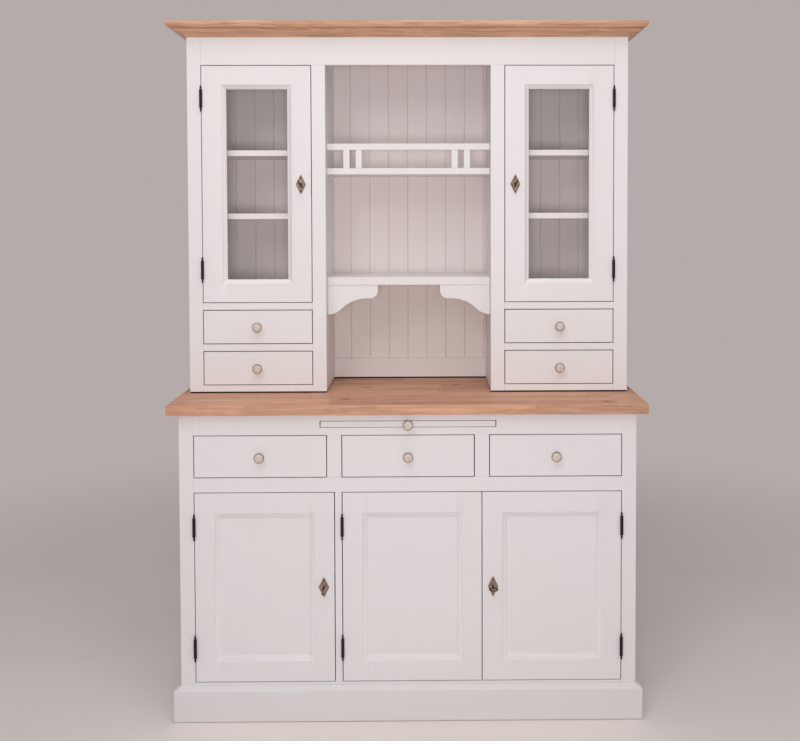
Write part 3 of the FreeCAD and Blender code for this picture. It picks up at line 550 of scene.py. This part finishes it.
def solids_of(bm):
    """The faces of a node's mesh in groups, one for each closed solid."""
    groups = []
    group = []
    loose = set()
    for face in bm.faces:
        group.append(face)
        corners = [tuple(v.co) for v in face.verts]
        for a, b in zip(corners, corners[1:] + corners[:1]):
            if (b, a) in loose:
                loose.discard((b, a))
            else:
                loose.add((a, b))
        if not loose:
            groups.append(group)
            group = []
    if group:
        groups.append(group)
    return groups


def boards_from(node, least_width=0.0):
    """A merged copy of a node's solids, without those narrower than least_width.
    Each face carries the number of its board."""
    bm = bmesh.new()
    bm.from_mesh(frame["nodes"][node].data)
    mark = bm.faces.layers.float.new("board")
    unwanted = []
    for number, group in enumerate(solids_of(bm)):
        verts = sorted({v for face in group for v in face.verts}, key=lambda v: v.index)
        xs = [v.co.x for v in verts]
        if max(xs) - min(xs) < least_width:
            unwanted += group
            continue
        for face in group:
            face[mark] = number + 1
        bmesh.ops.remove_doubles(bm, verts=verts, dist=WELD_DISTANCE)
    if unwanted:
        bmesh.ops.delete(bm, geom=unwanted, context="FACES")
    bmesh.ops.dissolve_limit(bm, angle_limit=FLAT_ANGLE, verts=bm.verts, edges=bm.edges)
    return bm


def make_object(name, bm, finish, node, ease=0.0, stands_for=True):
    """Turns a bmesh into a piece that rides with a node. It stands for the node, or only adds to
    it where stands_for is False."""
    mesh = bpy.data.meshes.new(name)
    bm.to_mesh(mesh)
    bm.free()
    mesh.materials.append(finish)
    for polygon in mesh.polygons:
        polygon.use_smooth = True
    mesh.set_sharp_from_angle(angle=SHARP_ANGLE)
    piece = bpy.data.objects.new(name, mesh)
    bpy.context.scene.collection.objects.link(piece)
    if ease > 0:
        bevel = piece.modifiers.new("ease", "BEVEL")
        bevel.width = ease
        bevel.segments = 2
        bevel.limit_method = "ANGLE"
        bevel.angle_limit = SHARP_ANGLE
        bevel.harden_normals = True
    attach(piece, body_of(node))
    if stands_for:
        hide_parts(node)
    return piece


def eased_copy(context, node, name, key, ease, least_width=0.0):
    """A copy of a node with eased edges and its finish, which stands for the node."""
    return make_object(name, boards_from(node, least_width), finish_of(key, context.scene), node,
                       ease)


def add(target, part):
    """Moves a part's faces into the target mesh."""
    bmesh.ops.remove_doubles(part, verts=part.verts, dist=WELD_DISTANCE)
    bmesh.ops.recalc_face_normals(part, faces=part.faces)
    carrier = bpy.data.meshes.new("carrier")
    part.to_mesh(carrier)
    part.free()
    target.from_mesh(carrier)
    bpy.data.meshes.remove(carrier)


def turn(target, profile, centre, along, steps):
    """Spins a line of (radius, distance) points round the axis along through centre."""
    part = bmesh.new()
    side = along.orthogonal().normalized()
    verts = [part.verts.new(centre + side * r + along * d) for r, d in profile]
    edges = [part.edges.new(pair) for pair in zip(verts, verts[1:])]
    bmesh.ops.spin(part, geom=verts + edges, cent=centre, axis=along, dvec=(0, 0, 0),
                   angle=2 * math.pi, steps=steps, use_merge=True, use_duplicate=False)
    add(target, part)


def bar(target, low, high, ease):
    """A block between two corners with its edges eased."""
    part = bmesh.new()
    bmesh.ops.create_cube(part, size=1.0)
    low = Vector(low)
    high = Vector(high)
    bmesh.ops.scale(part, vec=high - low, verts=part.verts)
    bmesh.ops.translate(part, vec=(low + high) / 2, verts=part.verts)
    bmesh.ops.bevel(part, geom=part.edges[:], offset=ease, affect="EDGES", segments=2,
                    profile=0.5, material=-1)
    add(target, part)


# Operators
class DRESSER_OT_painted_boards(bpy.types.Operator):
    """Ease the edges of the painted carcass, shelves and gallery and paint them"""

    bl_idname = "dresser.painted_boards"
    bl_label = "Painted boards"

    def execute(self, context):
        sizes = context.scene.dresser_sizes
        self.plinth(context, sizes)
        for node in ("base_side_panels", "base_stiles", "base_rails", "base_muntins",
                     "hutch_side_panels", "hutch_stiles", "hutch_rails", "gallery",
                     "open_shelf"):
            eased_copy(context, node, "painted_" + node, "paint", sizes.board_ease)
        # The inner boards and shelves take the lighter paint, which is painted light.
        for node in ("base_back_panel", "base_inner_boards", "hutch_top_board",
                     "hutch_inner_boards"):
            eased_copy(context, node, "painted_" + node, "inner_boards_painted_light", sizes.board_ease)
        # The back boards take the darker, warmer paint, which is painted shade.
        eased_copy(context, "hutch_back_boards", "painted_back_boards", "back_boards_painted_shade",
                   sizes.fine_ease)
        return {"FINISHED"}

    def plinth(self, context, sizes):
        """The plinth boards, with a chamfer along the outer edges of their feet."""
        bm = boards_from("plinth")
        squarely = 0.9
        foot = []
        for edge in bm.edges:
            if max(v.co.z for v in edge.verts) > sizes.plinth_foot:
                continue
            for face in edge.link_faces:
                side = math.copysign(1, face.calc_center_median().x)
                if -face.normal.y > squarely or face.normal.x * side > squarely:
                    foot.append(edge)
        bmesh.ops.bevel(bm, geom=foot, offset=sizes.plinth_foot, affect="EDGES", segments=1,
                        profile=0.5, material=-1)
        # The plinth takes the darker paint, which is painted shade.
        make_object("painted_plinth", bm, finish_of("plinth_tone_painted_shade", context.scene), "plinth",
                    sizes.plinth_ease)


class DRESSER_OT_worktop(bpy.types.Operator):
    """Lay the oak worktop in glued staves"""

    bl_idname = "dresser.worktop"
    bl_label = "Oak worktop"

    def execute(self, context):
        sizes = context.scene.dresser_sizes
        colours = context.scene.dresser_colours
        staves = wood_finish("oak_staves", tuple(colours.oak), tuple(colours.oak_dark), "X",
                             (sizes.stave_width, sizes.stave_length), 0.54)
        make_object("oak_worktop", boards_from("worktop"), staves, "worktop", sizes.board_ease)
        return {"FINISHED"}


class DRESSER_OT_cornice(bpy.types.Operator):
    """Make the oak cornice with the grain along each length"""

    bl_idname = "dresser.cornice"
    bl_label = "Oak cornice"

    def execute(self, context):
        bm = boards_from("cornice")
        mark = bm.faces.layers.float["board"]
        # The first length runs along the front, and the other two run back along the sides.
        for face in bm.faces:
            face.material_index = int(face[mark] > 1)
        # The cornice's oak is lighter than the worktop's, as painted light.
        piece = make_object("oak_cornice", bm, finish_of("oak", context.scene), "cornice",
                            context.scene.dresser_sizes.fine_ease)
        piece.data.materials.append(finish_of("oak_sides", context.scene))
        return {"FINISHED"}


class DRESSER_OT_doors(bpy.types.Operator):
    """Ease and paint the doors and put in their panes"""

    bl_idname = "dresser.doors"
    bl_label = "Doors and panes"

    def execute(self, context):
        sizes = context.scene.dresser_sizes
        for node in ("door_left", "door_centre", "door_right", "door_glass_left",
                     "door_glass_right"):
            eased_copy(context, node, "painted_" + node, "paint", sizes.fine_ease)
        for node in ("pane_glass_left", "pane_glass_right"):
            eased_copy(context, node, "clear_" + node, "glass", sizes.metal_ease)
        return {"FINISHED"}


class DRESSER_OT_drawers(bpy.types.Operator):
    """Ease and paint the drawer fronts and the pull-out board, and grain the drawer boxes"""

    bl_idname = "dresser.drawers"
    bl_label = "Drawers and pull-out board"

    def execute(self, context):
        sizes = context.scene.dresser_sizes
        # The knobs are narrower than this, and are left out here.
        widest_knob = 0.04
        for node in SLOTS:
            if node.startswith("drawer_front") or node == "pull_out_board":
                eased_copy(context, node, "painted_" + node, "paint", sizes.board_ease,
                           widest_knob)
            elif node.startswith("drawer_box"):
                self.grain_box(context, node)
        eased_copy(context, "drawer_runners", "pine_runners", "pine", sizes.fine_ease)
        return {"FINISHED"}

    def grain_box(self, context, node):
        """The first two boards are the sides, with their grain from front to back, and that of
        the back and the bottom runs from side to side."""
        bm = boards_from(node)
        mark = bm.faces.layers.float["board"]
        for face in bm.faces:
            face.material_index = int(face[mark] > 2)
        piece = make_object("pine_" + node, bm, finish_of("pine", context.scene), node,
                            context.scene.dresser_sizes.fine_ease)
        piece.data.materials.append(finish_of("pine_wide", context.scene))


class DRESSER_OT_knobs(bpy.types.Operator):
    """Turn a knob for every drawer and for the pull-out board"""

    bl_idname = "dresser.knobs"
    bl_label = "Turned knobs"

    def execute(self, context):
        sizes = context.scene.dresser_sizes
        r = sizes.knob_radius
        d = sizes.knob_reach
        profile = [(0, 0), (r * 0.52, 0), (r * 0.53, d * 0.035), (r * 0.49, d * 0.08),
                   (r * 0.37, d * 0.125), (r * 0.33, d * 0.18), (r * 0.325, d * 0.4),
                   (r * 0.345, d * 0.52), (r * 0.43, d * 0.62), (r * 0.66, d * 0.7),
                   (r * 0.9, d * 0.745), (r * 0.985, d * 0.775), (r, d * 0.81),
                   (r * 0.985, d * 0.85), (r * 0.95, d * 0.88), (r * 0.9, d * 0.892),
                   (r * 0.87, d * 0.882), (r * 0.845, d * 0.875), (r * 0.815, d * 0.89),
                   (r * 0.75, d * 0.925), (r * 0.6, d * 0.962), (r * 0.4, d * 0.986),
                   (r * 0.2, d * 0.997), (0, d)]
        for node in SLOTS:
            if not (node.startswith("drawer_front") or node == "pull_out_board"):
                continue
            low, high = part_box(node)
            z = (low.z + high.z) / 2
            # The board's knob stands higher than the board, and sets the top of the box.
            if node == "pull_out_board":
                z = high.z - r
            centre = Vector(((low.x + high.x) / 2, low.y + d, z))
            bm = bmesh.new()
            turn(bm, profile, centre, -Y_AXIS, 48)
            radius = bm.verts.layers.float.new("radius")
            for vert in bm.verts:
                away = vert.co - centre
                vert[radius] = math.hypot(away.x, away.z)
            make_object("knob_" + node, bm, finish_of("knob", context.scene), node,
                        stands_for=False)
        return {"FINISHED"}


class DRESSER_OT_hinges(bpy.types.Operator):
    """Make the lift-off hinges with their finials, leaves and screws"""

    bl_idname = "dresser.hinges"
    bl_label = "Hinges"

    def execute(self, context):
        black = finish_of("iron", context.scene)
        hung = {"left": "left_door_hinge", "centre": "centre_door_hinge",
                "right": "right_door_hinge", "glass_left": "glass_door_left_hinge",
                "glass_right": "glass_door_right_hinge"}
        frame_side = bmesh.new()
        for door, joint in hung.items():
            low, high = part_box("door_" + door)
            x, y, _ = JOINTS[joint]["pos_m"]
            way = 1 if (low.x + high.x) / 2 > x else -1
            door_side = bmesh.new()
            inset = context.scene.dresser_sizes.hinge_from_end
            for z in (low.z + inset, high.z - inset):
                self.half(context, door_side, Vector((x, y, z)), way, 1)
                self.half(context, frame_side, Vector((x, y, z)), -way, -1)
            make_object("hinges_" + door, door_side, black, "hinge_halves_" + door)
        make_object("hinges_frame", frame_side, black, "frame_hinge_halves")
        return {"FINISHED"}

    def half(self, context, target, middle, way, up):
        """One barrel with its finial, and its leaf with three screws. up is 1 for an upper half,
        and way is the side of the gap that the leaf lies on."""
        sizes = context.scene.dresser_sizes
        r = sizes.barrel_radius
        end = sizes.barrel_split / 2
        seat = sizes.barrel_height / 2
        tall = sizes.finial_height
        profile = [(0, end), (r * 0.86, end), (r * 0.97, end + r * 0.06), (r, end + r * 0.16),
                   (r, seat - r * 0.16), (r * 0.96, seat - r * 0.05), (r * 0.84, seat),
                   (r * 0.56, seat + tall * 0.05), (r * 0.42, seat + tall * 0.11),
                   (r * 0.41, seat + tall * 0.17), (r * 0.5, seat + tall * 0.24),
                   (r * 0.62, seat + tall * 0.34), (r * 0.67, seat + tall * 0.46),
                   (r * 0.6, seat + tall * 0.62), (r * 0.43, seat + tall * 0.78),
                   (r * 0.23, seat + tall * 0.91), (r * 0.09, seat + tall * 0.98),
                   (0, seat + tall)]
        turn(target, profile, middle, Z_AXIS * up, 32)
        leaf_face = middle.x + way * (DOOR_GAP / 2 - sizes.leaf_thickness)
        xs = sorted((leaf_face, middle.x + way * DOOR_GAP / 2))
        face_y = middle.y + sizes.barrel_stand
        zs = sorted((middle.z + up * end, middle.z + up * seat))
        bar(target, (xs[0], middle.y, zs[0]), (xs[1], face_y, zs[1]), sizes.metal_ease)
        bar(target, (xs[0], face_y, middle.z - seat),
            (xs[1], face_y + sizes.leaf_depth, middle.z + seat), sizes.metal_ease)
        screw_r = 0.0023
        screw_out = 0.0002
        screw_depth = face_y + sizes.leaf_depth * 0.52
        dome = [(0, 0), (screw_r, 0), (screw_r * 0.95, screw_out * 0.5),
                (screw_r * 0.6, screw_out * 0.9), (0, screw_out)]
        for share in (-0.68, 0.0, 0.68):
            place = Vector((leaf_face, screw_depth, middle.z + seat * share))
            turn(target, dome, place, X_AXIS * -way, 16)


class DRESSER_OT_locks(bpy.types.Operator):
    """Make the lock cases, the pointed key plates with their nails, and the bolts"""

    bl_idname = "dresser.locks"
    bl_label = "Locks and bolts"

    def execute(self, context):
        sizes = context.scene.dresser_sizes
        # A nail's head is let in a little, and stands out as a low dome.
        nail_r = 0.0021
        nail_rise = 0.0205
        dome = [(0, -0.0004), (nail_r, -0.0004), (nail_r, 0.0), (nail_r * 0.92, 0.0004),
                (nail_r * 0.6, 0.0009), (0, 0.0011)]
        for name in KEY_TURNS:
            node = "lock_" + name
            key = JOINTS["key_" + name + "_turn"]["pos_m"]
            bm = boards_from(node)
            for layer, place in (("plate_x", key[0]), ("plate_z", key[2])):
                mark = bm.faces.layers.float.new(layer)
                for face in bm.faces:
                    face[mark] = place
            make_object("brass_" + node, bm, finish_of("plate", context.scene), node,
                        sizes.metal_ease)
            nails = bmesh.new()
            plate_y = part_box(node)[0].y
            for rise in (-nail_rise, nail_rise):
                turn(nails, dome, Vector((key[0], plate_y, key[2] + rise)), -Y_AXIS, 20)
            make_object("nails_" + name, nails, finish_of("key", context.scene), node,
                        stands_for=False)
            bolt = "lock_bolt_" + name
            eased_copy(context, bolt, "brass_" + bolt, "brass", sizes.metal_ease)
        eased_copy(context, "centre_door_bolt", "brass_flush_bolt", "brass", sizes.metal_ease)
        return {"FINISHED"}


class DRESSER_OT_keys(bpy.types.Operator):
    """Make the keys: ring bow, collared shank and bit"""

    bl_idname = "dresser.keys"
    bl_label = "Keys"

    def execute(self, context):
        sizes = context.scene.dresser_sizes
        outer = sizes.bow_radius
        middle_r = (outer + sizes.bow_hole) / 2
        wall = (outer - sizes.bow_hole) / 2
        half_ring = 0.0015
        r = 0.0025
        # The bit, measured from the door's face and from the middle of the shank
        bit_start = 0.0075
        bit_end = 0.0125
        bit_drop = 0.0088
        half_bit = 0.001
        for name, degrees in KEY_TURNS.items():
            node = "key_" + name
            low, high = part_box(node)
            key = Vector(JOINTS["key_" + name + "_turn"]["pos_m"])
            bm = bmesh.new()
            bow = Vector((key.x, low.y + outer, key.z))
            self.ring(bm, bow, middle_r, wall, half_ring)
            start = bow.y + middle_r
            end = high.y - start
            shank = [(0, 0), (r * 1.2, 0), (r * 1.25, 0.0012), (r, 0.0022), (r * 0.96, 0.003),
                     (r * 1.35, 0.0038), (r * 1.35, 0.0052), (r * 0.96, 0.006),
                     (r * 0.96, end - 0.0004), (r * 0.8, end), (0, end)]
            turn(bm, shank, Vector((key.x, start, key.z)), Y_AXIS, 28)
            bar(bm, (key.x - half_bit, key.y + bit_start, key.z - bit_drop),
                (key.x + half_bit, key.y + bit_end, key.z), sizes.metal_ease)
            spin = Matrix.Rotation(math.radians(degrees), 4, "Y")
            bmesh.ops.rotate(bm, cent=key, matrix=spin, verts=bm.verts)
            make_object("bronze_" + node, bm, finish_of("key", context.scene), node)
        return {"FINISHED"}

    def ring(self, target, centre, middle_r, wall, half_thick):
        """A ring that stands upright, thinner from side to side than its wall is wide."""
        part = bmesh.new()
        bmesh.ops.create_circle(part, segments=16, radius=1.0)
        bmesh.ops.scale(part, vec=(half_thick, wall, 1), verts=part.verts)
        bmesh.ops.translate(part, vec=centre + Y_AXIS * middle_r, verts=part.verts)
        bmesh.ops.spin(part, geom=part.verts[:] + part.edges[:], cent=centre, axis=X_AXIS,
                       dvec=(0, 0, 0), angle=2 * math.pi, steps=44, use_merge=True,
                       use_duplicate=False)
        add(target, part)


class DRESSER_OT_felt_pads(bpy.types.Operator):
    """Finish the strips of felt that carry the hutch on the worktop"""

    bl_idname = "dresser.felt_pads"
    bl_label = "Felt strips"

    def execute(self, context):
        # The felt's near-black is partly painted shade for the gap under the hutch.
        eased_copy(context, "felt_pads", "felt_strips_painted_shade", "felt",
                   context.scene.dresser_sizes.metal_ease)
        return {"FINISHED"}


class DRESSER_OT_stage(bpy.types.Operator):
    """Set the pale floor and backdrop, the soft lamps and the camera"""

    bl_idname = "dresser.stage"
    bl_label = "Stage, light and camera"

    def execute(self, context):
        stage = context.scene.dresser_stage
        colours = context.scene.dresser_colours
        bm = bmesh.new()
        bmesh.ops.create_circle(bm, cap_ends=True, segments=96, radius=FLOOR_RADIUS)
        mesh = bpy.data.meshes.new("studio_floor")
        bm.to_mesh(mesh)
        bm.free()
        mesh.materials.append(floor_finish("pale_floor", tuple(colours.floor),
                                           tuple(colours.backdrop)))
        floor = bpy.data.objects.new("studio_floor", mesh)
        context.scene.collection.objects.link(floor)
        self.sky(context, stage, tuple(colours.backdrop))
        white = (1.0, 0.985, 0.98)
        warm_white = (1.0, 0.98, 0.965)
        front_white = (1.0, 0.97, 0.965)
        self.lamp(context, "key_lamp", stage.key_power, (-1.3, -3.6, 3.5), 1.4, white)
        self.lamp(context, "fill_lamp", stage.fill_power, (2.6, -3.2, 2.6), 2.6, white)
        self.lamp(context, "top_lamp", stage.top_power, (0, -1.5, 4.5), 3.0, warm_white)
        front = self.lamp(context, "front_lamp", stage.front_power, (0.02, -3.3, 1.3), 0.7,
                          front_white)
        # The panes would mirror this lamp straight into the camera.
        front.visible_glossy = False
        # A narrower beam keeps its light on the dresser and off the near floor.
        front.data.spread = math.radians(140)
        self.camera(context, stage)
        context.scene.view_settings.view_transform = "Standard"
        return {"FINISHED"}

    def sky(self, context, stage, tint):
        """Even light all round; the camera, mirrors and panes see the backdrop's colour."""
        world = bpy.data.worlds.new("studio_sky")
        world.use_nodes = True
        context.scene.world = world
        tree = world.node_tree
        tree.nodes.clear()
        light = tree.nodes.new("ShaderNodeBackground")
        light.inputs["Color"].default_value = (1.0, 0.975, 0.97, 1)
        light.inputs["Strength"].default_value = stage.sky_level
        seen = tree.nodes.new("ShaderNodeBackground")
        seen.inputs["Color"].default_value = (*tint, 1)
        path = tree.nodes.new("ShaderNodeLightPath")
        either = path.outputs["Is Camera Ray"]
        for ray in ("Is Glossy Ray", "Is Transmission Ray"):
            most = tree.nodes.new("ShaderNodeMath")
            most.operation = "MAXIMUM"
            tree.links.new(either, most.inputs[0])
            tree.links.new(path.outputs[ray], most.inputs[1])
            either = most.outputs[0]
        mixed = tree.nodes.new("ShaderNodeMixShader")
        tree.links.new(either, mixed.inputs[0])
        tree.links.new(light.outputs[0], mixed.inputs[1])
        tree.links.new(seen.outputs[0], mixed.inputs[2])
        output = tree.nodes.new("ShaderNodeOutputWorld")
        tree.links.new(mixed.outputs[0], output.inputs["Surface"])

    def lamp(self, context, name, power, place, size, tint):
        """A square soft lamp that faces the upper half of the dresser."""
        data = bpy.data.lights.new(name, "AREA")
        data.energy = power
        data.size = size
        data.color = tint
        lamp = bpy.data.objects.new(name, data)
        lamp.location = place
        aim = LAMP_AIM - Vector(place)
        lamp.rotation_euler = aim.to_track_quat("-Z", "Y").to_euler()
        context.scene.collection.objects.link(lamp)
        return lamp

    def camera(self, context, stage):
        """The camera of the picture: turned, then tilted, then rolled."""
        turn_by, tilt, roll = stage.camera_turn
        right = Vector((math.cos(turn_by), math.sin(turn_by), 0))
        ahead = Vector((-math.sin(turn_by), math.cos(turn_by), 0))
        view = ahead * math.cos(tilt) + Z_AXIS * math.sin(tilt)
        up = Z_AXIS * math.cos(tilt) - ahead * math.sin(tilt)
        side = right * math.cos(roll) + up * math.sin(roll)
        top = up * math.cos(roll) - right * math.sin(roll)
        data = bpy.data.cameras.new("picture_camera")
        data.sensor_width = 36
        data.lens = stage.lens
        data.shift_x = stage.shift_x
        data.shift_y = stage.shift_y
        camera = bpy.data.objects.new("picture_camera", data)
        turned = Matrix((side, top, -view)).transposed().to_4x4()
        camera.matrix_world = Matrix.Translation(Vector(stage.camera_place)) @ turned
        context.scene.collection.objects.link(camera)
        context.scene.camera = camera


OPERATORS = (
    DRESSER_OT_painted_boards,
    DRESSER_OT_worktop,
    DRESSER_OT_cornice,
    DRESSER_OT_doors,
    DRESSER_OT_drawers,
    DRESSER_OT_knobs,
    DRESSER_OT_hinges,
    DRESSER_OT_locks,
    DRESSER_OT_keys,
    DRESSER_OT_felt_pads,
    DRESSER_OT_stage,
)


class DRESSER_PT_panel(bpy.types.Panel):
    """Lists the steps and the sizes and colours of the dresser"""

    bl_idname = "DRESSER_PT_panel"
    bl_label = "Painted dresser"
    bl_space_type = "VIEW_3D"
    bl_region_type = "UI"
    bl_category = "Dresser"

    def draw(self, context):
        layout = self.layout
        for operator in OPERATORS:
            layout.operator(operator.bl_idname)
        for group in (context.scene.dresser_sizes, context.scene.dresser_colours,
                      context.scene.dresser_stage):
            box = layout.box()
            for name in group.__annotations__:
                box.prop(group, name)


CLASSES = (DresserSizes, DresserColours, StageSettings, *OPERATORS, DRESSER_PT_panel)


def register():
    for item in CLASSES:
        bpy.utils.register_class(item)
    bpy.types.Scene.dresser_sizes = PointerProperty(type=DresserSizes)
    bpy.types.Scene.dresser_colours = PointerProperty(type=DresserColours)
    bpy.types.Scene.dresser_stage = PointerProperty(type=StageSettings)


def unregister():
    del bpy.types.Scene.dresser_stage
    del bpy.types.Scene.dresser_colours
    del bpy.types.Scene.dresser_sizes
    for item in reversed(CLASSES):
        bpy.utils.unregister_class(item)


def main():
    """Builds everything in order."""
    register()
    for operator in OPERATORS:
        group, name = operator.bl_idname.split(".")
        getattr(getattr(bpy.ops, group), name)()


if __name__ == "__main__":
    main()
